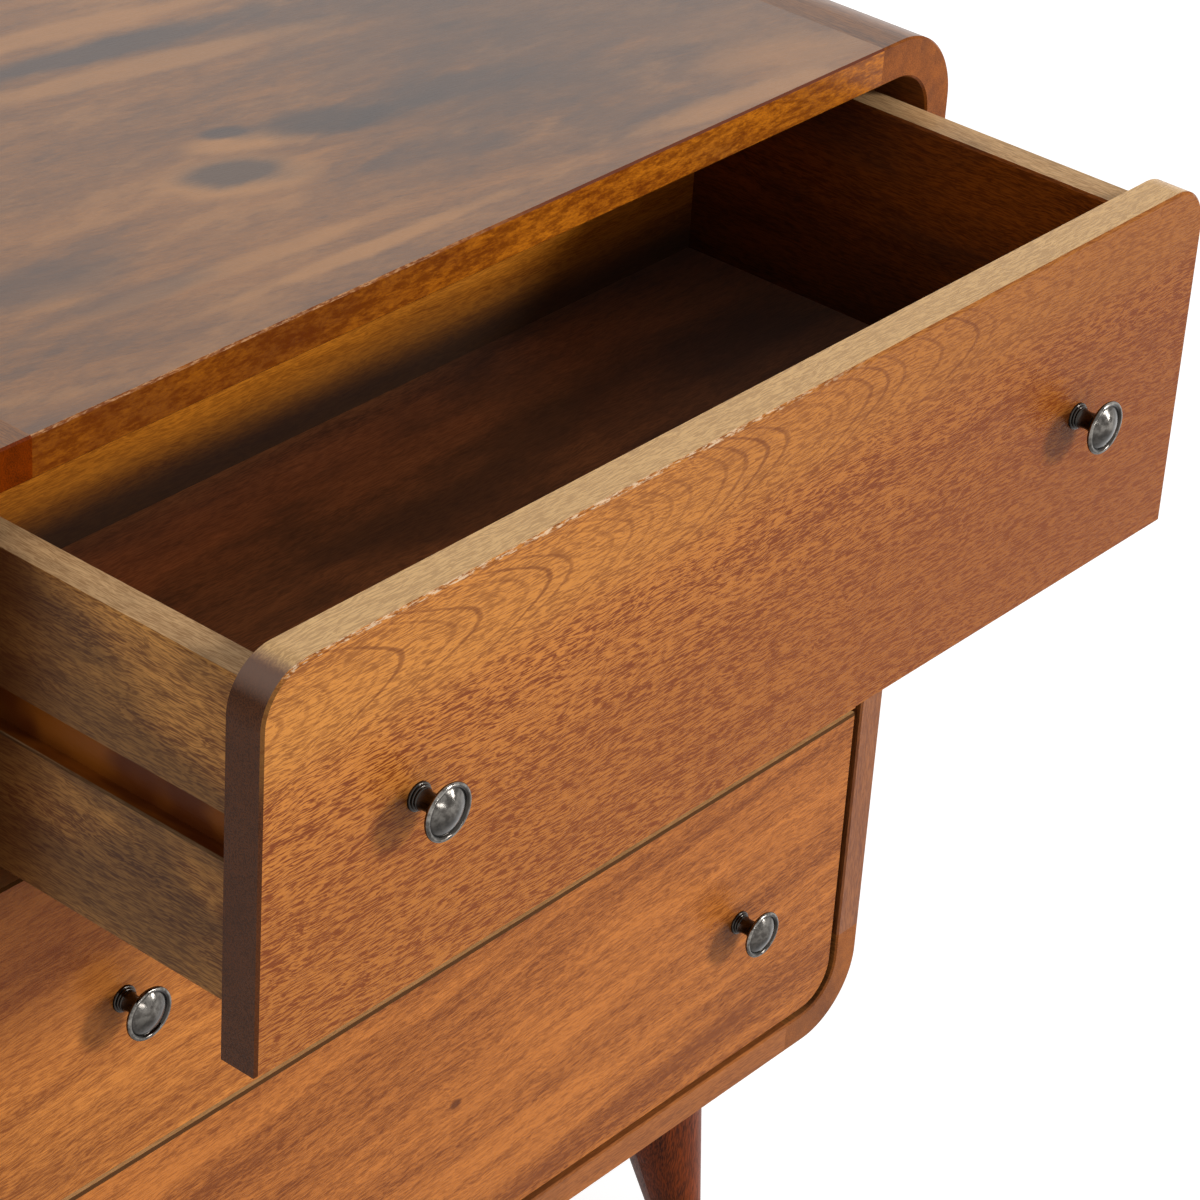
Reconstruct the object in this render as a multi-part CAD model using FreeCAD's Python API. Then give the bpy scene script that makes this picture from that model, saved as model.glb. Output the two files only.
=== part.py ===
"""Three-drawer chest with rounded carcass corners, inset fronts, turned knobs and splayed legs.

Millimetres. +X is to the right of someone facing the chest, +Y runs to its back and +Z is up.
The origin is on the floor, under the middle of the box that holds the whole chest with its
top drawer standing partly open.
"""
import FreeCAD, Part
import math
import os

os.makedirs("parts", exist_ok=True)

Vector = FreeCAD.Vector

# ---------------------------------------------------------------- driving dimensions
# Carcass
carcass_width = 800.0
carcass_height = 720.0
carcass_depth = 400.0
top_thickness = 24.0
bottom_thickness = 22.0
side_thickness = 22.0
outer_radius = 51.0            # rounded outer corner of the carcass
cove_radius = 31.0             # hollow inner corner of the opening
corner_block_reach = 70.0      # from the outer edge to the glue line, along either board
carcass_arris = 1.2            # eased edges of the carcass
spline_thickness = 6.0         # loose tongues that join the boards to the corner blocks
spline_width = 22.0
spline_end_setback = 25.0      # the tongues stop short of the front and back edges
spline_play = 0.15             # glue room on each side of a tongue

# Back panel
back_panel_thickness = 6.0
back_panel_lap = 8.0           # how far the panel's rabbet reaches into the boards
back_panel_play = 0.3

# Drawer fronts
drawer_count = 3
front_thickness = 23.0
front_gap = 3.0                # all round each front
front_recess = 2.0             # how far the closed fronts sit behind the carcass edge
front_arris = 1.5

# Drawer boxes
drawer_side_thickness = 22.0
drawer_side_height = 183.0
drawer_top_drop = 17.0         # from the top of a front to the top of its drawer sides
drawer_side_clearance = 16.5   # between a drawer side and the carcass side
drawer_back_room = 39.0        # left between a closed drawer and the back panel
drawer_back_thickness = 18.0
drawer_back_drop = 4.0         # from the top of the sides to the top of the back
drawer_edge_bevel = 1.5
housing_depth = 8.0            # grooves that hold the ends of the sides and of the back
drawer_bottom_thickness = 6.0
drawer_bottom_height = 40.0    # from the lower edge of the sides to the panel's underside
drawer_bottom_groove = 6.0
drawer_bottom_play = 0.3
top_drawer_opening = 199.0     # how far the top drawer stands open

# Runners
runner_groove_drop = 77.0      # from the top of the sides to the top of the groove
runner_groove_height = 27.4
runner_groove_depth = 10.0
runner_side_play = 1.0
runner_top_play = 0.4
runner_bottom_play = 1.0
runner_stop_gap = 1.5          # left between a runner's end and the back of a closed front
runner_back_gap = 12.0         # left between a runner and the back panel

# Knobs
knob_spread = 538.0            # between the two knobs of a drawer
knob_length = 24.0
knob_head_radius = 15.8
knob_face_radius = 12.8        # flat end of the head, inside its bevelled rim
knob_rim_setback = 5.2         # from the end of the knob back to its widest part
knob_flare_setback = 10.2      # from the end of the knob back to where the neck flares out
knob_flare_step = 1.8          # how much the neck widens up to there
knob_neck_radius = 5.2
knob_flange_radius = 7.9
knob_flange_thickness = 3.0
knob_stud_radius = 2.5         # threaded stud, one piece with the knob
knob_stud_length = 15.0

# Legs
leg_height = 175.0             # from the floor to the underside of the carcass
leg_inset_side = 145.0         # from the end of the carcass to the leg's centre at its top
leg_inset_front = 52.0         # from the front or back edge to the leg's centre at its top
leg_top_radius = 34.0
leg_foot_radius = 9.5
leg_splay = 0.142              # sideways run of the leg's axis for each unit of drop, in X and in Y
leg_tenon_radius = 12.0        # round tenon, one piece with the leg, glued in the bottom board
leg_tenon_length = 16.0

# ---------------------------------------------------------------- places worked out from them
half_width = carcass_width / 2
inner_half_width = half_width - side_thickness
carcass_bottom = leg_height
carcass_top = leg_height + carcass_height
opening_bottom = carcass_bottom + bottom_thickness
opening_top = carcass_top - top_thickness
reach_forward = top_drawer_opening + knob_length - front_recess
carcass_front = (reach_forward - carcass_depth) / 2
carcass_back = carcass_front + carcass_depth
closed_front_face = carcass_front + front_recess
front_corner_radius = cove_radius - front_gap
front_height = (opening_top - opening_bottom - (drawer_count + 1) * front_gap) / drawer_count
box_half_width = inner_half_width - drawer_side_clearance
box_inner_half_width = box_half_width - drawer_side_thickness
drawer_inner_length = (carcass_depth - front_recess - front_thickness - drawer_back_thickness
                       - drawer_back_room - back_panel_thickness)
runner_height = runner_groove_height - runner_top_play - runner_bottom_play
runner_width = drawer_side_clearance + runner_groove_depth - runner_side_play
runner_front = closed_front_face + front_thickness + runner_stop_gap
runner_back = carcass_back - back_panel_thickness - runner_back_gap
leg_taper = (leg_top_radius - leg_foot_radius) / leg_height

Y_AXIS = Vector(0, 1, 0)


# ---------------------------------------------------------------- shared shapes
def box(x0, x1, y0, y1, z0, z1):
    return Part.makeBox(x1 - x0, y1 - y0, z1 - z0, Vector(x0, y0, z0))


def rounded_block(x0, x1, z0, z1, radius, y0, y1):
    """Block along Y whose XZ outline is a rectangle with round corners."""
    quarter = radius * math.sqrt(0.5)
    corners = [(x1, z0, 1, -1), (x1, z1, 1, 1), (x0, z1, -1, 1), (x0, z0, -1, -1)]
    edges = []
    last_end = None
    first_start = None
    for x, z, sx, sz in corners:
        centre = Vector(x - sx * radius, y0, z - sz * radius)
        on_side = centre + Vector(sx * radius, 0, 0)
        on_level = centre + Vector(0, 0, sz * radius)
        middle = centre + Vector(sx * quarter, 0, sz * quarter)
        start, end = (on_side, on_level) if sx == sz else (on_level, on_side)
        if last_end:
            edges.append(Part.LineSegment(last_end, start).toShape())
        else:
            first_start = start
        edges.append(Part.Arc(start, middle, end).toShape())
        last_end = end
    edges.append(Part.LineSegment(last_end, first_start).toShape())
    return Part.Face(Part.Wire(edges)).extrude(Vector(0, y1 - y0, 0))


def edges_on(shape, test):
    """Edges of a shape whose whole length passes the test."""
    found = []
    for edge in shape.Edges:
        first, last = edge.ParameterRange
        spots = [edge.valueAt(first + (last - first) * part) for part in (0.0, 0.5, 1.0)]
        if all(test(spot) for spot in spots):
            found.append(edge)
    return found


def level(value, place, tolerance=0.01):
    return abs(value - place) < tolerance


def save(name, shape):
    shape.exportStep("parts/" + name + ".step")


def save_group(name, solids):
    save(name, Part.makeCompound(solids))


# ---------------------------------------------------------------- carcass
def carcass_ring():
    """The whole carcass frame in one, before it is parted at its glue lines."""
    outer = rounded_block(-half_width, half_width, carcass_bottom, carcass_top, outer_radius,
                          carcass_front, carcass_back)
    opening = rounded_block(-inner_half_width, inner_half_width, opening_bottom, opening_top,
                            cove_radius, carcass_front, carcass_back)
    ring = outer.cut(opening)
    front_edges = edges_on(ring, lambda spot: level(spot.y, carcass_front))
    ring = ring.makeChamfer(carcass_arris, front_edges)
    return ring.cut(back_panel_blank(0.0, carcass_back))


def back_panel_blank(play, back):
    lap = back_panel_lap - play
    return rounded_block(-inner_half_width - lap, inner_half_width + lap, opening_bottom - lap,
                         opening_top + lap, cove_radius + lap,
                         carcass_back - back_panel_thickness, back)


def spline_blocks(play):
    """Loose tongues across the eight glue lines, or with play the slots they sit in."""
    half_thick = spline_thickness / 2 + play
    half_wide = spline_width / 2 + play
    y0 = carcass_front + spline_end_setback - play
    y1 = carcass_back - spline_end_setback + play
    glue_x = half_width - corner_block_reach
    blocks = []
    for side in (-1, 1):
        for z in (carcass_bottom + bottom_thickness / 2, carcass_top - top_thickness / 2):
            x = side * glue_x
            blocks.append(box(x - half_wide, x + half_wide, y0, y1, z - half_thick, z + half_thick))
        x = side * (half_width - side_thickness / 2)
        for z in (carcass_bottom + corner_block_reach, carcass_top - corner_block_reach):
            blocks.append(box(x - half_thick, x + half_thick, y0, y1, z - half_wide, z + half_wide))
    return blocks


def make_carcass():
    slots = spline_blocks(spline_play)
    ring = carcass_ring().cut(slots)
    glue_x = half_width - corner_block_reach
    low_glue = carcass_bottom + corner_block_reach
    high_glue = carcass_top - corner_block_reach
    middle = (carcass_bottom + carcass_top) / 2
    y0 = carcass_front
    y1 = carcass_back
    cells = {
        "top_board": box(-glue_x, glue_x, y0, y1, middle, carcass_top),
        "bottom_board": box(-glue_x, glue_x, y0, y1, carcass_bottom, middle),
        "left_side_board": box(-half_width, 0, y0, y1, low_glue, high_glue),
        "right_side_board": box(0, half_width, y0, y1, low_glue, high_glue),
        "top_left_corner_block": box(-half_width, -glue_x, y0, y1, high_glue, carcass_top),
        "top_right_corner_block": box(glue_x, half_width, y0, y1, high_glue, carcass_top),
        "bottom_left_corner_block": box(-half_width, -glue_x, y0, y1, carcass_bottom, low_glue),
        "bottom_right_corner_block": box(glue_x, half_width, y0, y1, carcass_bottom, low_glue),
    }
    pieces = {name: ring.common(cell) for name, cell in cells.items()}
    for foot in leg_places():
        pieces["bottom_board"] = pieces["bottom_board"].cut(leg_tenon(foot))
    for name, piece in pieces.items():
        save(name, piece.Solids[0])
    save_group("corner_splines", spline_blocks(0.0))
    save("back_panel", back_panel_blank(back_panel_play, carcass_back))


# ---------------------------------------------------------------- drawer runners
def front_bottom(index):
    """Lower edge of a drawer front; drawers are counted from the top."""
    return opening_top - (index + 1) * (front_gap + front_height)


def box_top(index):
    return front_bottom(index) + front_height - drawer_top_drop


def groove_top(index):
    return box_top(index) - runner_groove_drop


def make_runners():
    for index, level_name in enumerate(("top", "middle", "bottom")):
        z1 = groove_top(index) - runner_top_play
        for side, side_name in ((-1, "left"), (1, "right")):
            edges = sorted((side * inner_half_width, side * (inner_half_width - runner_width)))
            runner = box(edges[0], edges[1], runner_front, runner_back, z1 - runner_height, z1)
            inner_x = side * (inner_half_width - runner_width)
            nose = edges_on(runner, lambda spot: level(spot.x, inner_x)
                            and level(spot.y, runner_front))
            runner = runner.makeChamfer(runner_groove_depth / 2, nose)
            save(level_name + "_" + side_name + "_runner", runner)


# ---------------------------------------------------------------- drawers
def knob_profile():
    """Half section of a knob and its stud as (radius, distance in front of the drawer front)."""
    return [
        (0.0, -knob_stud_length),
        (knob_stud_radius, -knob_stud_length),
        (knob_stud_radius, 0.0),
        (knob_flange_radius, 0.0),
        (knob_flange_radius, knob_flange_thickness),
        (knob_neck_radius, knob_flange_thickness),
        (knob_neck_radius + knob_flare_step, knob_length - knob_flare_setback),
        (knob_head_radius, knob_length - knob_rim_setback),
        (knob_face_radius, knob_length),
        (0.0, knob_length),
    ]


def knob_solid(x, face, z):
    spots = [Vector(x + radius, face - distance, z) for radius, distance in knob_profile()]
    section = Part.Face(Part.makePolygon(spots + spots[:1]))
    return section.revolve(Vector(x, face, z), Y_AXIS, 360)


def knob_bore(x, face, z):
    return Part.makeCylinder(knob_stud_radius, knob_stud_length, Vector(x, face, z), Y_AXIS)


def front_panel(index, face):
    """Drawer front: its share of one rounded block that fits the opening with an even gap."""
    z0 = front_bottom(index)
    whole = rounded_block(-inner_half_width + front_gap, inner_half_width - front_gap,
                          opening_bottom + front_gap, opening_top - front_gap,
                          front_corner_radius, face, face + front_thickness)
    share = box(-half_width, half_width, face, face + front_thickness, z0, z0 + front_height)
    panel = whole.common(share)
    return panel.makeChamfer(front_arris, edges_on(panel, lambda spot: level(spot.y, face)))


def bevel_long_edges(board, top):
    """Ease the two long top edges of a drawer board."""
    crest = edges_on(board, lambda spot: level(spot.z, top))
    longest = max(edge.Length for edge in crest)
    return board.makeChamfer(drawer_edge_bevel, [edge for edge in crest
                                                 if level(edge.Length, longest)])


def make_drawer(index, name, opening):
    face = closed_front_face - opening
    back_of_front = face + front_thickness
    front_z = front_bottom(index)
    top = box_top(index)
    low = top - drawer_side_height
    panel_z = low + drawer_bottom_height
    back_y = back_of_front + drawer_inner_length
    side_end = back_y + drawer_back_thickness
    side_start = back_of_front - housing_depth
    knob_z = front_z + front_height / 2

    lap = drawer_bottom_groove - drawer_bottom_play
    bottom = box(-box_inner_half_width - lap, box_inner_half_width + lap, back_of_front - lap,
                 back_y + lap, panel_z, panel_z + drawer_bottom_thickness)
    groove = box(-box_inner_half_width - drawer_bottom_groove,
                 box_inner_half_width + drawer_bottom_groove,
                 back_of_front - drawer_bottom_groove, back_y + drawer_bottom_groove,
                 panel_z, panel_z + drawer_bottom_thickness)
    save(name + "_bottom", bottom)

    housing = box(-box_inner_half_width - housing_depth, box_inner_half_width + housing_depth,
                  back_y, side_end, low, top - drawer_back_drop)
    back = bevel_long_edges(housing, top - drawer_back_drop)
    save(name + "_back", back.cut(groove))

    panel = front_panel(index, face).cut(groove)
    for side, side_name in ((-1, "left"), (1, "right")):
        xs = sorted((side * box_half_width, side * box_inner_half_width))
        board = box(xs[0], xs[1], side_start, side_end, low, top)
        panel = panel.cut(board)
        board = bevel_long_edges(board, top)
        track = sorted((side * box_half_width, side * (box_half_width - runner_groove_depth)))
        runner_groove = box(track[0], track[1], back_of_front, side_end,
                            groove_top(index) - runner_groove_height, groove_top(index))
        board = board.cut([runner_groove, groove, housing])
        save(name + "_" + side_name + "_side", board)

    knobs = []
    for x in (-knob_spread / 2, knob_spread / 2):
        panel = panel.cut(knob_bore(x, face, knob_z))
        knobs.append(knob_solid(x, face, knob_z))
    save(name + "_front", panel)
    save_group(name + "_knobs", knobs)


# ---------------------------------------------------------------- legs
def leg_places():
    """Centre of each leg's top, with the way it splays in X and in Y."""
    x = half_width - leg_inset_side
    y_front = carcass_front + leg_inset_front
    y_back = carcass_back - leg_inset_front
    return [(-x, y_front, -1, -1), (x, y_front, 1, -1), (-x, y_back, -1, 1), (x, y_back, 1, 1)]


def leg_axis(splay_x, splay_y):
    axis = Vector(splay_x * leg_splay, splay_y * leg_splay, -1)
    return axis.normalize()


def leg_tenon(place):
    """Round tenon on a leg's axis, sawn off level with the underside of the carcass."""
    x, y, splay_x, splay_y = place
    axis = leg_axis(splay_x, splay_y)
    top = Vector(x, y, carcass_bottom) - axis * (leg_tenon_length / abs(axis.z))
    rod = Part.makeCylinder(leg_tenon_radius, leg_tenon_length + leg_top_radius, top, axis)
    above = box(x - leg_top_radius, x + leg_top_radius, y - leg_top_radius, y + leg_top_radius,
                carcass_bottom, opening_bottom)
    return rod.common(above)


def leg_solid(place):
    """Round taper along the splayed axis, sawn off level at both ends, with its tenon on top."""
    x, y, splay_x, splay_y = place
    axis = leg_axis(splay_x, splay_y)
    spare = leg_top_radius
    top_centre = Vector(x, y, carcass_bottom) - axis * spare
    stretch = leg_height / abs(axis.z) + 2 * spare
    taper = leg_taper * abs(axis.z)
    top_radius = leg_top_radius + taper * spare
    cone = Part.makeCone(top_radius, top_radius - taper * stretch, stretch, top_centre, axis)
    slab = box(x - carcass_width, x + carcass_width, y - carcass_width, y + carcass_width,
               0.0, carcass_bottom)
    return cone.common(slab).fuse(leg_tenon(place))


def make_legs():
    save_group("legs", [leg_solid(place) for place in leg_places()])


make_carcass()
make_runners()
make_drawer(0, "top_drawer", top_drawer_opening)
make_drawer(1, "middle_drawer", 0.0)
make_drawer(2, "bottom_drawer", 0.0)
make_legs()
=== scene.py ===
"""Looks for the three-drawer chest: camera, studio, and the finish of every board and knob."""

import math

import bpy
from mathutils import Matrix, Vector


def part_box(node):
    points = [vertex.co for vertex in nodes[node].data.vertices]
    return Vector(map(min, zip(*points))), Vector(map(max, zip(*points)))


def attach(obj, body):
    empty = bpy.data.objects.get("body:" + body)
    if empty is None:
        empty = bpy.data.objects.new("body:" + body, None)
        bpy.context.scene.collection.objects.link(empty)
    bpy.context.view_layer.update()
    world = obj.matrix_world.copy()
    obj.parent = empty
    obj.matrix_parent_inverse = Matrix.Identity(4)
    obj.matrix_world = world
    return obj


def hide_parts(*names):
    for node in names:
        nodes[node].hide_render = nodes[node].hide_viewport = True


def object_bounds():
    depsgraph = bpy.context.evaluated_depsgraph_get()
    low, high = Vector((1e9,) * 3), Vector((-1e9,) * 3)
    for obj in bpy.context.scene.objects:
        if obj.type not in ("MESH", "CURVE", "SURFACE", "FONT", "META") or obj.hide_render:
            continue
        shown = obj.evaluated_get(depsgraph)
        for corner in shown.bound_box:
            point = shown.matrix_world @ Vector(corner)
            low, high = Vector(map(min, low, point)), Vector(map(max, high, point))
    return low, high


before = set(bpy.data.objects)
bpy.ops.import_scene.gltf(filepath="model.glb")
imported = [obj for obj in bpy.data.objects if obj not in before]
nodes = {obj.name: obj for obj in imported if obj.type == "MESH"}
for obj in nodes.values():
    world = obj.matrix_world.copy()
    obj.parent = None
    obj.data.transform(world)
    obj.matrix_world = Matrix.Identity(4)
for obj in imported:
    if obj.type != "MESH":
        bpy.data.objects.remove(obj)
cad_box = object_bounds()

# ---------------------------------------------------------------- camera
# A long lens looks down over the left front corner at the open top drawer.
frame_pixels = 1200
lens_pixels = 4250.4
sensor_width = 36.0
camera_place = Vector((-1.51536, -1.38550, 1.87838))
camera_yaw = math.radians(51.325)      # from +Y towards +X
camera_pitch = math.radians(-31.230)
camera_roll = math.radians(3.881)

forward = Vector((math.sin(camera_yaw) * math.cos(camera_pitch),
                  math.cos(camera_yaw) * math.cos(camera_pitch), math.sin(camera_pitch)))
level_right = Vector((math.cos(camera_yaw), -math.sin(camera_yaw), 0.0))
level_up = level_right.cross(forward)
right = level_right * math.cos(camera_roll) + level_up * math.sin(camera_roll)
up = level_up * math.cos(camera_roll) - level_right * math.sin(camera_roll)

camera_data = bpy.data.cameras.new("camera")
camera_data.sensor_width = sensor_width
camera_data.lens = lens_pixels / frame_pixels * sensor_width
camera_data.clip_end = 50.0
camera = bpy.data.objects.new("camera", camera_data)
camera.matrix_world = Matrix((
    (right.x, up.x, -forward.x, camera_place.x),
    (right.y, up.y, -forward.y, camera_place.y),
    (right.z, up.z, -forward.z, camera_place.z),
    (0.0, 0.0, 0.0, 1.0)))
bpy.context.scene.collection.objects.link(camera)
bpy.context.scene.camera = camera
bpy.context.scene.view_settings.view_transform = "Standard"


# ---------------------------------------------------------------- studio
# A pale seamless floor, an even white surround, a large soft box in front on the right and
# above the chest, and two small weak ones that put the glints on the metal.
floor_size = 24.0
floor_drop = 0.0005
floor_colour = (0.72, 0.72, 0.72, 1.0)
surround_light = 0.45
floor_glow = 0.62


def put(tree, kind, inputs=(), **settings):
    """Add a node to a tree; an input takes a plain value or another node's output."""
    node = tree.nodes.new(kind)
    for name, value in settings.items():
        setattr(node, name, value)
    for name, value in dict(inputs).items():
        if isinstance(value, bpy.types.NodeSocket):
            tree.links.new(value, node.inputs[name])
        else:
            node.inputs[name].default_value = value
    return node


def maths(tree, operation, *values, clamp=False):
    """Result of one operation on plain values or other nodes' outputs."""
    node = put(tree, "ShaderNodeMath", dict(enumerate(values)), operation=operation)
    node.use_clamp = clamp
    return node.outputs[0]


def seen_directly(tree):
    """1 for rays from the camera and for rays mirrored or passed on to it, else 0."""
    path = put(tree, "ShaderNodeLightPath")
    mirrored = maths(tree, "MAXIMUM", path.outputs["Is Glossy Ray"],
                     path.outputs["Is Transmission Ray"])
    return maths(tree, "MAXIMUM", path.outputs["Is Camera Ray"], mirrored)


world = bpy.data.worlds.new("surround")
world.use_nodes = True
bpy.context.scene.world = world
surround = world.node_tree
surround.nodes.clear()
level = maths(surround, "MULTIPLY_ADD", seen_directly(surround), 1.0 - surround_light,
              surround_light)
background = put(surround, "ShaderNodeBackground",
                 {"Color": (1.0, 1.0, 1.0, 1.0), "Strength": level})
put(surround, "ShaderNodeOutputWorld", {"Surface": background.outputs[0]})

bpy.ops.object.select_all(action="DESELECT")
bpy.ops.mesh.primitive_plane_add(size=floor_size, location=(0.0, 0.0, -floor_drop))
floor = bpy.context.object
floor.name = "studio_floor"
floor_paint = bpy.data.materials.new("floor_paint")
floor_paint.use_nodes = True
tree = floor_paint.node_tree
tree.nodes.clear()
matt = put(tree, "ShaderNodeBsdfDiffuse", {"Color": floor_colour})
glow = put(tree, "ShaderNodeEmission",
           {"Color": (1.0, 1.0, 1.0, 1.0),
            "Strength": maths(tree, "MULTIPLY", seen_directly(tree), floor_glow)})
both = put(tree, "ShaderNodeAddShader", {0: matt.outputs[0], 1: glow.outputs[0]})
put(tree, "ShaderNodeOutputMaterial", {"Surface": both.outputs[0]})
floor.data.materials.append(floor_paint)


def soft_box(name, place, target, width, height, power):
    """Area light in metres and watts that looks at a target."""
    data = bpy.data.lights.new(name, "AREA")
    data.shape = "RECTANGLE"
    data.size = width
    data.size_y = height
    data.energy = power
    lamp = bpy.data.objects.new(name, data)
    lamp.location = place
    lamp.rotation_euler = (Vector(target) - Vector(place)).to_track_quat("-Z", "Y").to_euler()
    bpy.context.scene.collection.objects.link(lamp)


chest_middle = (0.0, 0.0, 0.6)
soft_box("key_box", (6.1, -8.4, 4.5), chest_middle, 2.2, 2.2, 800.0)
soft_box("low_box", (3.3, -3.9, 1.3), chest_middle, 0.5, 0.5, 36.0)
soft_box("front_box", (0.0, -4.2, 1.0), chest_middle, 0.8, 0.25, 13.0)


# ---------------------------------------------------------------- carcass boards
# Four solid hardwood boards glued to solid corner blocks that are rounded outside and coved
# inside. They are stained chestnut and finished with a satin lacquer, and the lacquer shows
# pale wear along the front arris of the top, with a painted highlight there as well.
def colour(red, green, blue):
    """Linear colour from a paint chip given in 0 to 255 display values."""
    def linear(value):
        share = value / 255.0
        return share / 12.92 if share <= 0.04045 else ((share + 0.055) / 1.055) ** 2.4
    return (linear(red), linear(green), linear(blue), 1.0)


def new_group(name, inputs, outputs):
    """Node group with its sockets; returns the tree, its input node and its output node."""
    group = bpy.data.node_groups.new(name, "ShaderNodeTree")
    for label, kind in inputs:
        group.interface.new_socket(label, in_out="INPUT", socket_type=kind)
    for label, kind in outputs:
        group.interface.new_socket(label, in_out="OUTPUT", socket_type=kind)
    entry = group.nodes.new("NodeGroupInput")
    leave = group.nodes.new("NodeGroupOutput")
    return group, entry, leave


def stretched(tree, vector, along, across):
    """Coordinates for a pattern that runs along X, with so many waves per metre each way."""
    return put(tree, "ShaderNodeVectorMath", {0: vector, 1: (along, across, across)},
               operation="MULTIPLY").outputs[0]


def noise(tree, vector, detail=2.0, roughness=0.5):
    """Soft noise from 0 to 1; its coordinates set its scale."""
    return put(tree, "ShaderNodeTexNoise",
               {"Vector": vector, "Scale": 1.0, "Detail": detail,
                "Roughness": roughness}).outputs["Fac"]


def split(tree, vector):
    """The X, Y and Z of a vector, by name."""
    return put(tree, "ShaderNodeSeparateXYZ", {0: vector}).outputs


def between(tree, value, low, high, from_value=0.0, to_value=1.0):
    """Value mapped smoothly from low..high to from_value..to_value."""
    return put(tree, "ShaderNodeMapRange",
               {"Value": value, 1: low, 2: high, 3: from_value, 4: to_value},
               interpolation_type="SMOOTHSTEP").outputs[0]


def mixed(tree, amount, first, second):
    """Two colours mixed by an amount from 0 to 1."""
    node = put(tree, "ShaderNodeMix", {0: amount, 6: first, 7: second}, data_type="RGBA")
    return node.outputs[2]


FLOAT = "NodeSocketFloat"
COLOUR = "NodeSocketColor"
VECTOR = "NodeSocketVector"


def swing(tree, value, amount):
    """A noise value turned into a swing about 0, as wide as the amount."""
    return maths(tree, "MULTIPLY", maths(tree, "SUBTRACT", value, 0.5), amount)


def build_stained_wood():
    """Open-pored hardwood under stain: streaks, fibres, short flecks and smoky patches."""
    tree, entry, leave = new_group(
        "stained_wood",
        [("Vector", VECTOR), ("Light", COLOUR), ("Dark", COLOUR), ("Smoke", COLOUR),
         ("Streaks", FLOAT), ("Fibres", FLOAT), ("Flecks", FLOAT), ("Smoky Patches", FLOAT),
         ("Roughness", FLOAT)],
        [("Color", COLOUR), ("Roughness", FLOAT), ("Height", FLOAT)])
    straight = entry.outputs["Vector"]
    bend = maths(tree, "ADD",
                 swing(tree, noise(tree, stretched(tree, straight, 9.0, 20.0), 3.0), 0.014),
                 swing(tree, noise(tree, stretched(tree, straight, 80.0, 160.0), 2.0), 0.002))
    offset = put(tree, "ShaderNodeCombineXYZ", {"Y": bend, "Z": bend}).outputs[0]
    vector = put(tree, "ShaderNodeVectorMath", {0: straight, 1: offset}).outputs[0]
    streak = noise(tree, stretched(tree, vector, 1.6, 30.0), 6.0, 0.72)
    fibre = noise(tree, stretched(tree, vector, 14.0, 120.0), 5.0, 0.72)
    fleck = between(tree, noise(tree, stretched(tree, vector, 110.0, 1300.0), 2.0, 0.5),
                    0.36, 0.64)
    patch = between(tree, noise(tree, stretched(tree, straight, 4.0, 10.0), 4.0, 0.6), 0.45, 0.68)
    tone = maths(tree, "ADD", 0.5,
                 maths(tree, "MULTIPLY", swing(tree, streak, 2.0), entry.outputs["Streaks"]))
    for grain, amount in ((fibre, "Fibres"), (fleck, "Flecks")):
        tone = maths(tree, "ADD", tone,
                     maths(tree, "MULTIPLY", swing(tree, grain, 2.0), entry.outputs[amount]))
    wood = mixed(tree, maths(tree, "ADD", tone, 0.0, clamp=True), entry.outputs["Dark"],
                 entry.outputs["Light"])
    wood = mixed(tree, maths(tree, "MULTIPLY", patch, entry.outputs["Smoky Patches"]), wood,
                 entry.outputs["Smoke"])
    tree.links.new(wood, leave.inputs["Color"])
    rough = maths(tree, "ADD", swing(tree, fleck, -0.08), entry.outputs["Roughness"])
    tree.links.new(rough, leave.inputs["Roughness"])
    height = maths(tree, "MULTIPLY_ADD", fleck, entry.outputs["Flecks"],
                   maths(tree, "MULTIPLY", fibre, entry.outputs["Fibres"]))
    tree.links.new(height, leave.inputs["Height"])
    return tree


stained_wood = build_stained_wood()
ALONG_X = (0.0, 0.0, 0.0)
ALONG_Y = (0.0, 0.0, math.radians(-90.0))
ALONG_Z = (0.0, math.radians(90.0), 0.0)
# Directions that the faces of a board look along, each with the cosines between which a
# rounded edge fades into it.
TOP_FACE = ((0.0, 0.0, 1.0), 0.86, 0.97)
FRONT_FACE = ((0.0, -1.0, 0.0), 0.5, 0.7)
LEFT_FACE = ((-1.0, 0.0, 0.0), 0.3, 0.55)
RIGHT_FACE = ((1.0, 0.0, 0.0), 0.3, 0.55)
FRONT_ARRIS = ((0.0, -0.7071, 0.7071), 0.9, 0.97)


def facing(tree, face):
    """1 on faces that look along a direction of the chest, else 0."""
    direction, low, high = face
    normal = put(tree, "ShaderNodeTexCoord").outputs["Normal"]
    dot = put(tree, "ShaderNodeVectorMath", {0: normal, 1: direction},
              operation="DOT_PRODUCT").outputs["Value"]
    return between(tree, dot, low, high)


arris_roughness = 0.3           # added where the lacquer is thin along a front arris
pore_strength, pore_depth = 0.3, 0.0003
smoke = colour(58, 44, 38)


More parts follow.
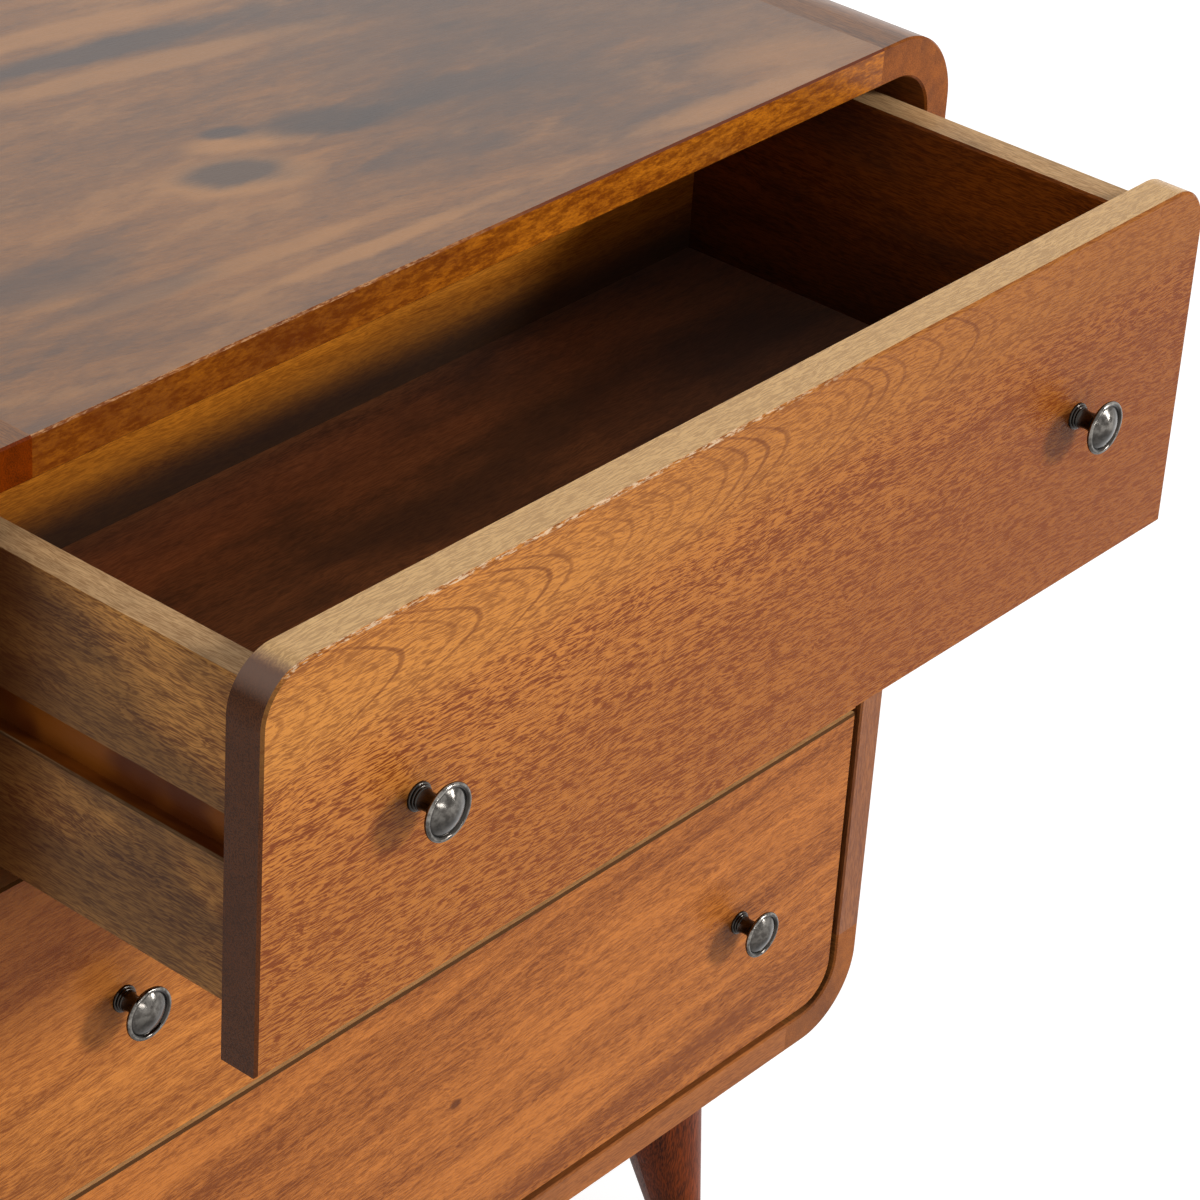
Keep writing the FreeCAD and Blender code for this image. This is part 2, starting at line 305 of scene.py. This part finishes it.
def wood_material(name, grain, shift, tones, amounts, gloss, faces=(), overlay=None):
    """Finish of one board.

    grain turns the pattern, and shift gives the board its own stretch of it. tones are the
    light and the dark tone, amounts those of streaks, fibres, flecks and smoky patches, and
    gloss is the roughness, the specular level and the lacquer on the faces that look up.
    faces lists (face, light, dark) for faces stained otherwise. An overlay adds what only
    that board has.
    """
    material = bpy.data.materials.new(name)
    material.use_nodes = True
    tree = material.node_tree
    tree.nodes.clear()
    place = put(tree, "ShaderNodeTexCoord").outputs["Object"]
    turned = put(tree, "ShaderNodeMapping",
                 {"Vector": place, "Location": shift, "Rotation": grain}).outputs[0]
    light, dark = tones
    for face, face_light, face_dark in faces:
        mask = facing(tree, face)
        light = mixed(tree, mask, light, face_light)
        dark = mixed(tree, mask, dark, face_dark)
    streaks, fibres, flecks, patches = amounts
    roughness, specular, lacquer = gloss
    wood = put(tree, "ShaderNodeGroup",
               {"Vector": turned, "Light": light, "Dark": dark, "Smoke": smoke,
                "Streaks": streaks, "Fibres": fibres, "Flecks": flecks,
                "Smoky Patches": patches, "Roughness": roughness}, node_tree=stained_wood)
    surface = wood.outputs["Color"]
    if overlay:
        surface = overlay(tree, place, surface)
    rough = maths(tree, "MULTIPLY_ADD", facing(tree, FRONT_ARRIS), arris_roughness,
                  wood.outputs["Roughness"])
    bump = put(tree, "ShaderNodeBump",
               {"Strength": pore_strength, "Distance": pore_depth,
                "Height": wood.outputs["Height"]})
    shader = put(tree, "ShaderNodeBsdfPrincipled",
                 {"Base Color": surface, "Roughness": rough, "Normal": bump.outputs[0]})
    shader.inputs["Specular IOR Level"].default_value = specular
    if lacquer:
        shader.inputs["Coat Roughness"].default_value = roughness
        tree.links.new(maths(tree, "MULTIPLY", facing(tree, TOP_FACE), lacquer),
                       shader.inputs["Coat Weight"])
    put(tree, "ShaderNodeOutputMaterial", {"Surface": shader.outputs[0]})
    return material


def dress(node, material):
    """Give a board from the frame its finish."""
    for slot in nodes[node].material_slots:
        slot.material = material


def spot(tree, place, centre, size, turn, raggedness):
    """Soft-edged oval patch, 1 in its middle, as a knot or a stain leaves in a board."""
    local = put(tree, "ShaderNodeMapping",
                {"Vector": place, "Location": centre, "Scale": size,
                 "Rotation": (0.0, 0.0, math.radians(turn))}, vector_type="TEXTURE")
    distance = put(tree, "ShaderNodeVectorMath", {0: local.outputs[0]},
                   operation="LENGTH").outputs["Value"]
    wander = swing(tree, noise(tree, stretched(tree, place, 18.0, 50.0), 4.0, 0.6), raggedness)
    return between(tree, maths(tree, "ADD", distance, wander), 1.05, 0.4)


def stain(tree, place, surface, mark):
    """Lay one mark over a surface. Its values come in the order that top_marks has them in."""
    centre, size, turn, strength, tone, raggedness = mark
    patch = spot(tree, place, centre, size, turn, raggedness)
    return mixed(tree, maths(tree, "MULTIPLY", patch, strength), surface, tone)


def speckle(tree, place, face, surface, tone, strength):
    """Fine dark figure on one face of a board."""
    fine = between(tree, noise(tree, stretched(tree, place, 90.0, 320.0), 5.0, 0.75), 0.4, 0.62)
    amount = maths(tree, "MULTIPLY", maths(tree, "MULTIPLY", fine, facing(tree, face)), strength)
    return mixed(tree, amount, surface, tone)


def worn_and_highlit_arris(tree, place, surface, tone, strength):
    """Thin broken line of another tone along the front arris: wear and a painted highlight."""
    broken = between(tree, noise(tree, stretched(tree, place, 160.0, 900.0), 4.0, 0.7), 0.46, 0.6)
    mask = maths(tree, "MULTIPLY", facing(tree, FRONT_ARRIS), broken)
    return mixed(tree, maths(tree, "MULTIPLY", mask, strength), surface, tone)


top_level = cad_box[1].z
grey_smoke = colour(46, 38, 36)
brown_smoke = colour(66, 50, 44)
bare_gold = colour(196, 134, 70)
shaded_front = colour(92, 38, 8)
speckled_front = colour(92, 36, 4)
stained_arris = colour(96, 44, 20)
# pale from wear along the front arris of the top, with a painted highlight
rubbed_and_highlit_arris = colour(190, 140, 96)
top_marks = [       # middle, half sizes, turn in degrees, strength, tone, raggedness
    ((0.26, 0.09, top_level), (0.32, 0.20, 1.0), 0.0, 0.5, brown_smoke, 1.6),
    ((0.285, -0.052, top_level), (0.07, 0.035, 1.0), -10.0, 0.4, bare_gold, 1.8),
    ((0.21, -0.078, top_level), (0.09, 0.014, 1.0), -8.0, 0.6, bare_gold, 1.6),
    ((-0.233, 0.024, top_level), (0.08, 0.03, 1.0), -12.0, 0.6, brown_smoke, 1.2),
    ((0.0, 0.206, top_level), (0.17, 0.018, 1.0), -12.0, 0.9, brown_smoke, 0.8),
    ((-0.01, 0.178, top_level), (0.15, 0.014, 1.0), -12.0, 0.6, bare_gold, 1.0),
    ((0.0, 0.240, top_level), (0.14, 0.016, 1.0), -12.0, 0.6, bare_gold, 1.0),
    ((-0.14, -0.030, top_level), (0.15, 0.010, 1.0), -6.0, 0.5, bare_gold, 1.0),
    ((-0.08, -0.062, top_level), (0.13, 0.008, 1.0), -3.0, 0.7, bare_gold, 1.0),
    ((-0.062, 0.043, top_level), (0.058, 0.030, 1.0), -23.0, 1.0, bare_gold, 0.5),
    ((-0.058, 0.045, top_level), (0.048, 0.023, 1.0), -23.0, 0.85, grey_smoke, 0.8),
    ((-0.029, 0.070, top_level), (0.042, 0.018, 1.0), -23.0, 0.8, bare_gold, 0.6),
    ((0.026, 0.058, top_level), (0.068, 0.022, 1.0), -20.0, 0.75, grey_smoke, 1.0),
    ((0.100, 0.044, top_level), (0.090, 0.024, 1.0), -15.0, 0.7, brown_smoke, 1.0),
    ((-0.028, 0.084, top_level), (0.022, 0.010, 1.0), -23.0, 0.9, brown_smoke, 0.8),
    ((0.046, -0.012, top_level), (0.080, 0.018, 1.0), -12.0, 0.5, brown_smoke, 1.4),
    ((-0.204, -0.018, top_level), (0.070, 0.016, 1.0), -10.0, 0.45, brown_smoke, 1.4),
]


def top_board_figure(tree, place, surface):
    """Mottled wood with dark knots, a smoky middle, a few streaks and a front arris pale from
    wear, with a painted highlight.
    """
    mottle = noise(tree, stretched(tree, place, 12.0, 32.0), 5.0, 0.65)
    marked = mixed(tree, between(tree, mottle, 0.5, 0.68, 0.0, 0.4), surface, bare_gold)
    marked = mixed(tree, between(tree, mottle, 0.48, 0.32, 0.0, 0.4), marked, brown_smoke)
    for mark in top_marks:
        marked = stain(tree, place, marked, mark)
    marked = mixed(tree, facing(tree, TOP_FACE), surface, marked)
    across = split(tree, place)["X"]
    shade = maths(tree, "MULTIPLY", facing(tree, FRONT_FACE),
                  between(tree, across, 0.15, -0.25, 0.0, 0.5))
    shaded = mixed(tree, shade, marked, shaded_front)
    shaded = speckle(tree, place, FRONT_FACE, shaded, speckled_front, 0.7)
    right_part = between(tree, across, -0.1, 0.05)
    edged = mixed(tree, maths(tree, "MULTIPLY", facing(tree, FRONT_ARRIS), right_part), shaded,
                  stained_arris)
    # left part of the front arris: pale from wear, with a painted highlight
    worn_and_highlit = worn_and_highlit_arris(tree, place, shaded, rubbed_and_highlit_arris, 0.8)
    return mixed(tree, right_part, worn_and_highlit, edged)


SLANTED_ON_TOP = (0.0, 0.0, math.radians(14.0))     # along X, and towards the front at the right
top_board_front = (FRONT_FACE, colour(220, 132, 28), colour(104, 40, 2))
dress("top_board", wood_material(
    "top_wood", grain=SLANTED_ON_TOP, shift=(0.0, 0.0, 0.0),
    tones=(colour(178, 114, 48), colour(94, 58, 28)), amounts=(0.6, 0.35, 0.12, 0.4),
    gloss=(0.30, 0.12, 0.8), faces=(top_board_front,), overlay=top_board_figure))
block_fronts = {"top_left": (colour(128, 50, 2), colour(72, 26, 1)),
                "top_right": (colour(164, 92, 30), colour(102, 50, 15)),
                "bottom_left": (colour(140, 80, 34), colour(96, 48, 18)),
                "bottom_right": (colour(166, 96, 38), colour(114, 60, 22))}
for index, (name, (light, dark)) in enumerate(block_fronts.items()):
    dress(name + "_corner_block", wood_material(
        name + "_block_wood", grain=ALONG_Y, shift=(0.3 * index, 0.0, 0.7),
        tones=(colour(170, 108, 48), colour(92, 56, 28)), amounts=(0.9, 0.4, 0.2, 0.3),
        gloss=(0.32, 0.06, 0.7), faces=((FRONT_FACE, light, dark),)))
for index, name in enumerate(("left_side_board", "right_side_board")):
    dress(name, wood_material(
        name + "_wood", grain=ALONG_Z, shift=(2.0 + index, 0.3, 0.0),
        tones=(colour(146, 86, 40), colour(88, 48, 22)), amounts=(0.9, 0.4, 0.25, 0.4),
        gloss=(0.34, 0.2, 0.0),
        faces=((FRONT_FACE, colour(156, 92, 40), colour(108, 56, 22)),)))
dress("bottom_board", wood_material(
    "bottom_wood", grain=ALONG_X, shift=(4.0, 0.2, 0.0),
    tones=(colour(150, 90, 44), colour(110, 60, 28)), amounts=(1.0, 0.5, 0.25, 0.2),
    gloss=(0.4, 0.12, 0.0),
    faces=((FRONT_FACE, colour(164, 96, 40), colour(112, 60, 24)),)))
dress("corner_splines", wood_material(
    "spline_wood", grain=ALONG_Y, shift=(5.0, 0.0, 0.0),
    tones=(colour(150, 104, 60), colour(120, 78, 42)), amounts=(0.5, 0.4, 0.2, 0.1),
    gloss=(0.5, 0.3, 0.0)))


# ---------------------------------------------------------------- back panel
# A thin stained panel with rounded corners that closes the back. It is glued into a rabbet
# that runs round the back edges of the boards and the corner blocks.
dress("back_panel", wood_material(
    "back_wood", grain=ALONG_X, shift=(6.0, 0.0, 0.4),
    tones=(colour(140, 92, 50), colour(104, 62, 32)), amounts=(0.9, 0.5, 0.2, 0.4),
    gloss=(0.5, 0.3, 0.0)))


# ---------------------------------------------------------------- runners
# Six plain hardwood battens, left without lacquer and glued across the carcass sides. The
# grooves in the drawer sides slide on them.
for index, level_name in enumerate(("top", "middle", "bottom")):
    for side in ("left", "right"):
        runner = level_name + "_" + side + "_runner"
        dress(runner, wood_material(
            runner + "_wood", grain=ALONG_Y, shift=(0.2 * index, 7.0, 0.1),
            tones=(colour(128, 80, 40), colour(84, 50, 26)), amounts=(0.7, 0.5, 0.3, 0.2),
            gloss=(0.5, 0.3, 0.0)))


# ---------------------------------------------------------------- drawer boxes
# Hardwood sides and backs, stained warmer inside than outside and paler along the top edges.
# The sides are housed in the front and the back in the sides, and a thin dark bottom panel
# lies in grooves all round.
DRAWERS = ("top_drawer", "middle_drawer", "bottom_drawer")
groove_light, groove_dark = colour(142, 78, 22), colour(92, 42, 12)
# painted shadow of the carcass on the outer faces of the drawer sides, towards the rear
painted_carcass_shadow = colour(72, 32, 10)
# painted shade low down on the inner faces of the drawer sides
painted_low_shade = colour(24, 18, 14)
# darker towards the joint of the drawer back with the drawer bottom
joint_darkening = colour(42, 36, 34)
# painted shade on the right end of the drawer bottoms
painted_floor_shade = colour(66, 60, 58)
box_top_edge = (TOP_FACE, colour(226, 182, 130), colour(174, 132, 88))


def side_stain_and_shade(node, panel):
    """Redder stain in the groove, a painted shadow of the carcass towards the rear, and painted
    shade low down inside.

    The depth is measured from the outer face of the side. The groove's walls lie between the
    two faces, and the top edge is left out.
    """
    floor_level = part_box(panel)[1].z
    low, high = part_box(node)
    outer = max(abs(low.x), abs(high.x))

    def overlay(tree, place, surface):
        parts = split(tree, place)
        depth = maths(tree, "SUBTRACT", outer, maths(tree, "ABSOLUTE", parts["X"]))
        inside = maths(tree, "MULTIPLY", between(tree, depth, 0.002, 0.003),
                       between(tree, depth, 0.014, 0.012))
        inside = maths(tree, "MULTIPLY", inside,
                       between(tree, parts["Z"], high.z - 0.02, high.z - 0.03))
        mottle = noise(tree, stretched(tree, place, 40.0, 12.0), 3.0, 0.6)
        groove = mixed(tree, between(tree, mottle, 0.4, 0.62), groove_dark, groove_light)
        grooved = mixed(tree, inside, surface, groove)
        # painted shadow of the carcass on the outer face, towards the rear
        carcass_shadow = maths(tree, "MULTIPLY", between(tree, depth, 0.002, 0.001),
                       between(tree, parts["Y"], -0.17, -0.10, 0.0, 0.8))
        outside = mixed(tree, carcass_shadow, grooved, painted_carcass_shadow)
        # painted shade, darker towards the drawer bottom on the inner face
        low_shade = maths(tree, "MULTIPLY", between(tree, depth, 0.014, 0.016),
                         between(tree, parts["Z"], floor_level + 0.12, floor_level, 0.0, 0.75))
        return mixed(tree, low_shade, outside, painted_low_shade)

    return overlay


def bottom_joint(panel):
    """Darkens the board towards its joint with the drawer bottom."""
    floor_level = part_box(panel)[1].z

    def overlay(tree, place, surface):
        darkening = between(tree, split(tree, place)["Z"], floor_level + 0.049, floor_level + 0.008,
                       0.0, 0.92)
        return mixed(tree, darkening, surface, joint_darkening)

    return overlay


def shaded_right_end(tree, place, surface):
    """A drawer bottom painted greyer and darker towards its right end: painted shade."""
    floor_shade = between(tree, split(tree, place)["X"], 0.0, 0.34, 0.0, 0.6)
    return mixed(tree, floor_shade, surface, painted_floor_shade)


for index, name in enumerate(DRAWERS):
    panel = name + "_bottom"
    for side, inner_face, stretch in (("left", RIGHT_FACE, 12.0), ("right", LEFT_FACE, 13.0)):
        board = name + "_" + side + "_side"
        dress(board, wood_material(
            name + "_" + side + "_wood", grain=ALONG_Y, shift=(0.4 * index, stretch, 0.2),
            tones=(colour(232, 164, 88), colour(132, 82, 48)), amounts=(0.8, 0.6, 0.35, 0.65),
            gloss=(0.36, 0.06, 0.0),
            faces=((inner_face, colour(166, 88, 24), colour(108, 52, 12)), box_top_edge),
            overlay=side_stain_and_shade(board, panel)))
    dress(name + "_back", wood_material(
        name + "_back_wood", grain=ALONG_X, shift=(9.0 + index, 0.0, 0.0),
        tones=(colour(238, 149, 43), colour(152, 83, 14)), amounts=(0.9, 0.4, 0.2, 0.2),
        gloss=(0.42, 0.15, 0.0), faces=(box_top_edge,), overlay=bottom_joint(panel)))
    dress(panel, wood_material(
        name + "_bottom_wood", grain=ALONG_X, shift=(12.0 + index, 0.3, 0.0),
        tones=(colour(190, 118, 70), colour(104, 64, 42)), amounts=(0.9, 0.3, 0.2, 0.7),
        gloss=(0.38, 0.2, 0.0), overlay=shaded_right_end))


# ---------------------------------------------------------------- drawer fronts
# Solid hardwood fronts, stained a warmer tone than the carcass, with eased edges. The top
# one is flat sawn, so nested arches of its growth rings run along its upper edge.
def build_flat_sawn_figure():
    """Dark growth lines in nested arches that lie along the grain, with their tips to +X."""
    tree, entry, leave = new_group(
        "flat_sawn_figure",
        [("Vector", VECTOR), ("Arch Height", FLOAT), ("Climb", FLOAT), ("Arch Width", FLOAT),
         ("Taper", FLOAT), ("Ring Width", FLOAT)],
        [("Lines", FLOAT), ("Nearness", FLOAT)])
    vector = entry.outputs["Vector"]
    parts = split(tree, vector)
    wander = swing(tree, noise(tree, stretched(tree, vector, 6.0, 10.0), 2.0), 0.016)
    jitter = swing(tree, noise(tree, stretched(tree, vector, 120.0, 400.0), 2.0), 0.0009)
    middle = maths(tree, "MULTIPLY_ADD", parts["X"], entry.outputs["Climb"],
                   entry.outputs["Arch Height"])
    rise = maths(tree, "SUBTRACT", parts["Z"], middle)
    width = entry.outputs["Arch Width"]
    rounded = maths(tree, "SQRT", maths(tree, "MULTIPLY_ADD", rise, rise,
                                        maths(tree, "MULTIPLY", width, width)))
    run = maths(tree, "MULTIPLY_ADD", parts["X"], entry.outputs["Taper"], rounded)
    run = maths(tree, "ADD", maths(tree, "ADD", run, wander), jitter)
    count = maths(tree, "DIVIDE", run, entry.outputs["Ring Width"])
    wave = maths(tree, "SINE", maths(tree, "MULTIPLY", count, 2.0 * math.pi))
    strong = noise(tree, put(tree, "ShaderNodeCombineXYZ",
                             {"X": maths(tree, "MULTIPLY", count, 0.37)}).outputs[0], 1.0)
    line = maths(tree, "MULTIPLY", between(tree, wave, 0.5, 1.0),
                 between(tree, strong, 0.4, 0.6, 0.1, 1.0))
    near = between(tree, maths(tree, "ABSOLUTE", rise), 0.045, 0.012)
    tree.links.new(maths(tree, "MULTIPLY", line, near), leave.inputs["Lines"])
    tree.links.new(near, leave.inputs["Nearness"])
    return tree


flat_sawn_figure = build_flat_sawn_figure()
arch_drop = 0.022               # from the upper edge of the front to the middle of the arches
arch_shape = {"Climb": 0.02, "Arch Width": 0.020, "Taper": 0.25, "Ring Width": 0.0040}
arch_gold = colour(206, 142, 68)
arch_line = colour(104, 50, 18)
darker_right = colour(112, 52, 14)
darker_foot = colour(128, 66, 24)
# painted pale sheen on the rounded upper left corner of the top front
painted_corner_sheen = colour(162, 130, 114)
# arris of the top front: pale from wear, with a painted highlight
pale_arris = colour(226, 196, 160)
# painted shade along the upper arris of the middle and bottom fronts
painted_gap_shade = colour(84, 52, 22)
# painted shadow of the open top drawer on the middle front
painted_drawer_shadow = colour(118, 56, 28)
knot_brown = colour(84, 40, 16)
# The rounded upper left corner of the top front, which gets a painted pale sheen, and where
# the mask never quite reaches 1.
ROUND_CORNER = ((-0.6, 0.0, 0.8), 0.88, 1.06)


def top_front_figure(tree, place, surface):
    """Arches near the upper edge, on a board that darkens to the right and downwards.

    The upper left corner carries a painted pale sheen, and the arris along the left half is
    pale from wear, with a painted highlight.
    """
    upper_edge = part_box("top_drawer_front")[1].z
    figure = put(tree, "ShaderNodeGroup",
                 {"Vector": place, "Arch Height": upper_edge - arch_drop, **arch_shape},
                 node_tree=flat_sawn_figure)
    parts = split(tree, place)
    golden = mixed(tree, maths(tree, "MULTIPLY", figure.outputs["Nearness"], 0.3), surface,
                   arch_gold)
    darker = mixed(tree, between(tree, parts["X"], -0.35, 0.4, 0.0, 0.6), golden, darker_right)
    darker = mixed(tree, between(tree, parts["Z"], upper_edge - 0.038, upper_edge - 0.168,
                                 0.0, 0.35), darker, darker_foot)
    fade = between(tree, parts["X"], 0.32, 0.12, 0.2, 0.62)
    lined = mixed(tree, maths(tree, "MULTIPLY", figure.outputs["Lines"], fade), darker,
                  arch_line)
    figured = mixed(tree, facing(tree, FRONT_FACE), surface, lined)
    # painted pale sheen on the rounded upper left corner
    cornered = mixed(tree, facing(tree, ROUND_CORNER), figured, painted_corner_sheen)
    # left half of the arris: pale from wear, with a painted highlight
    rubbed_and_highlit = worn_and_highlit_arris(tree, place, cornered, pale_arris, 0.8)
    left_half = between(tree, parts["X"], 0.1, -0.05)
    return mixed(tree, left_half, cornered, rubbed_and_highlit)


def dark_arris(tree, place, surface):
    """Painted shade along the upper arris, at the gap above the front."""
    return mixed(tree, facing(tree, FRONT_ARRIS), surface, painted_gap_shade)


def middle_front_figure(tree, place, surface):
    """Painted shadow of the open top drawer: a darker, red tone towards the upper left corner."""
    upper_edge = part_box("middle_drawer_front")[1].z
    parts = split(tree, place)
    # painted shadow of the open top drawer, towards the upper left of the middle front
    corner = maths(tree, "MULTIPLY", between(tree, parts["X"], -0.12, -0.34, 0.0, 0.5),
                   between(tree, parts["Z"], upper_edge - 0.164, upper_edge - 0.044))
    shadowed = mixed(tree, corner, surface, painted_drawer_shadow)
    return dark_arris(tree, place, shadowed)


def bottom_front_figure(tree, place, surface):
    """One pin knot near the middle."""
    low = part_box("bottom_drawer_front")[0]
    knot = ((0.002, low.y, low.z + 0.113), (0.006, 1.0, 0.004), 0.0, 0.8, knot_brown, 0.4)
    return dark_arris(tree, place, stain(tree, place, surface, knot))


CLIMBING = (0.0, math.radians(3.0), 0.0)        # along X, and a little upwards to the right
front_finishes = {
    "top_drawer": {"grain": ALONG_X, "tones": (colour(194, 122, 54), colour(118, 57, 21)),
                   "amounts": (0.6, 0.8, 0.65, 0.0), "overlay": top_front_figure},
    "middle_drawer": {"grain": CLIMBING, "tones": (colour(202, 126, 57), colour(132, 72, 29)),
                      "amounts": (1.3, 0.6, 0.3, 0.1), "overlay": middle_front_figure},
    "bottom_drawer": {"grain": CLIMBING, "tones": (colour(189, 114, 51), colour(119, 62, 24)),
                      "amounts": (1.3, 0.6, 0.3, 0.0), "overlay": bottom_front_figure},
}
end_tones = (colour(104, 62, 38), colour(76, 46, 30))
front_faces = ((LEFT_FACE, *end_tones), (RIGHT_FACE, *end_tones),
               (TOP_FACE, colour(240, 192, 128), colour(206, 160, 104)))
for index, (name, finish) in enumerate(front_finishes.items()):
    dress(name + "_front", wood_material(
        name + "_front_wood", shift=(0.37 * index, 0.0, 0.21 * index),
        gloss=(0.30, 0.06, 0.4), faces=front_faces, **finish))


# ---------------------------------------------------------------- legs
# Turned round legs, tapered and splayed, stained darker than the fronts, each on a round
# tenon that is glued into the bottom board.
dress("legs", wood_material(
    "leg_wood", grain=ALONG_Z, shift=(0.0, 0.0, 1.4),
    tones=(colour(122, 52, 14), colour(42, 17, 6)), amounts=(0.8, 0.5, 0.3, 0.2),
    gloss=(0.4, 0.06, 0.0)))


# ---------------------------------------------------------------- knobs
# Cast metal knobs with a stepped flange, a hollow neck and a domed head with a rolled rim,
# each held in its drawer front by a stud. They have a dark antique finish that hands have
# polished bright on the rim and the dome, brightened there further by painted reflection, and
# the head is painted lighter above than below as a painted reflection.
MM = 0.001          # the knob's own sizes are in millimetres, from the face of the drawer front
knob_segments = 72
rows = 8            # of faces along the neck, and round the rim
flange_steps = [(7.9, 0.0), (7.9, 1.2), (7.6, 1.6), (6.9, 1.7), (6.9, 2.6), (6.6, 2.9),
                (6.1, 3.0), (6.1, 3.8), (5.8, 4.1)]
neck_radius, neck_middle, neck_reach, neck_hollow = 5.1, 7.6, 3.6, 0.6
head_underside = [(6.6, 13.2), (8.4, 15.0), (11.0, 16.7)]
rim_radius, rim_place, rim_thickness = 14.3, 19.0, 1.5
rim_start, rim_sweep = -80.0, 230.0     # degrees round the rim's own section
groove_radius, groove_place = 12.7, 19.2
crown, crown_flat, dome_power = 23.98, 0.2, 1.6     # just inside the solid knob's 24 mm
rim_rub_and_sheen, dome_rub_and_sheen = 0.5, 0.2    # how much brighter: dark finish gone, and painted reflection


def knob_section():
    """(radius, distance from the drawer front) of the knob, from flange to crown."""
    section = list(flange_steps)
    for step in range(rows + 1):
        along = step / rows * 2.0 - 1.0
        section.append((neck_radius + neck_hollow * along * along,
                        neck_middle + neck_reach * along))
    section += head_underside
    for step in range(rows + 1):
        turn = math.radians(rim_start + rim_sweep * step / rows)
        section.append((rim_radius + rim_thickness * math.cos(turn),
                        rim_place + rim_thickness * math.sin(turn)))
    for step in range(rows + 2):
        share = math.cos(math.radians(90.0 * step / (rows + 1)))
        section.append((max(groove_radius * share, crown_flat),
                        groove_place + (crown - groove_place) * (1.0 - share ** dome_power)))
    return section


def turn_knob():
    """Raise the knob from its flange: each step extrudes the end face and scales it."""
    section = [(radius * MM, distance * MM) for radius, distance in knob_section()]
    radius, distance = section[0]
    bpy.ops.object.select_all(action="DESELECT")
    bpy.ops.mesh.primitive_circle_add(vertices=knob_segments, radius=radius, fill_type="NGON",
                                      rotation=(math.radians(90.0), 0.0, 0.0))
    bpy.ops.object.transform_apply(location=True, rotation=True, scale=True)
    bpy.ops.object.mode_set(mode="EDIT")
    bpy.ops.mesh.select_all(action="SELECT")
    for next_radius, next_distance in section[1:]:
        bpy.ops.mesh.extrude_region_move(
            TRANSFORM_OT_translate={"value": (0.0, distance - next_distance, 0.0)})
        shrink = next_radius / radius
        bpy.ops.transform.resize(value=(shrink, 1.0, shrink),
                                 center_override=(0.0, -next_distance, 0.0))
        radius, distance = next_radius, next_distance
    bpy.ops.mesh.select_all(action="SELECT")
    bpy.ops.mesh.normals_make_consistent(inside=False)
    bpy.ops.object.mode_set(mode="OBJECT")
    bpy.ops.object.shade_smooth_by_angle(angle=math.radians(50.0))
    knob = bpy.context.object
    rub_and_sheen = knob.data.attributes.new("rub_and_sheen", "FLOAT", "POINT")
    for vertex, value in zip(knob.data.vertices, rub_and_sheen.data):
        out = -vertex.co.y / MM
        reach = math.hypot(vertex.co.x, vertex.co.z) / MM
        on_rim = reach > rim_radius - 0.4 and out > rim_place
        on_dome = reach < groove_radius - 0.3 and out > groove_place
        value.value = rim_rub_and_sheen if on_rim else dome_rub_and_sheen if on_dome else 0.0
    return knob


# The head is painted lighter above than below: a painted reflection of the lights.
UPPER_HALF = ((0.0, 0.0, 1.0), -0.3, 0.3)       # of the head, with a wide fade
dark_metal_painted_shade, dark_metal_painted_light, rubbed_and_sheen_metal = colour(42, 40, 38), colour(64, 60, 56), colour(140, 135, 128)


def knob_finish():
    """Dark metal that hands have polished on its rim and dome, with painted reflection there,
    and painted lighter above than below.
    """
    material = bpy.data.materials.new("antique_metal")
    material.use_nodes = True
    tree = material.node_tree
    tree.nodes.clear()
    place = put(tree, "ShaderNodeTexCoord").outputs["Object"]
    rub_and_sheen = put(tree, "ShaderNodeAttribute", attribute_name="rub_and_sheen").outputs["Fac"]
    cloud = noise(tree, stretched(tree, place, 260.0, 260.0), 4.0, 0.6)
    fine = noise(tree, stretched(tree, place, 1800.0, 1800.0), 2.0, 0.6)
    upper = facing(tree, UPPER_HALF)
    # bright rim and dome: partly polished by hands, partly painted reflection
    bright = maths(tree, "MULTIPLY", rub_and_sheen, between(tree, cloud, 0.35, 0.65, 0.2, 1.3))
    bright = maths(tree, "MULTIPLY", bright, between(tree, upper, 0.0, 1.0, 0.5, 1.6))
    dark = mixed(tree, upper, dark_metal_painted_shade, dark_metal_painted_light)
    surface = mixed(tree, bright, dark, rubbed_and_sheen_metal)
    rough = maths(tree, "MULTIPLY_ADD", fine, 0.07, between(tree, cloud, 0.3, 0.7, 0.08, 0.16))
    bump = put(tree, "ShaderNodeBump", {"Strength": 0.15, "Distance": 0.0001, "Height": cloud})
    shader = put(tree, "ShaderNodeBsdfPrincipled",
                 {"Base Color": surface, "Metallic": 1.0, "Roughness": rough,
                  "Normal": bump.outputs[0]})
    put(tree, "ShaderNodeOutputMaterial", {"Surface": shader.outputs[0]})
    return material


model_knob = turn_knob()
model_knob.data.materials.append(knob_finish())
head_radius = (rim_radius + rim_thickness) * MM
for name in DRAWERS:
    low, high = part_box(name + "_knobs")
    front_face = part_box(name + "_front")[0].y
    for side, x in (("left", low.x + head_radius), ("right", high.x - head_radius)):
        knob = model_knob.copy()
        knob.data = model_knob.data.copy()
        knob.name = name + "_" + side + "_knob"
        knob.data.name = knob.name
        bpy.context.scene.collection.objects.link(knob)
        knob.data.transform(Matrix.Translation((x, front_face, (low.z + high.z) / 2.0)))
        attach(knob, name)
        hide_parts(name + "_knobs")
bpy.data.objects.remove(model_knob)
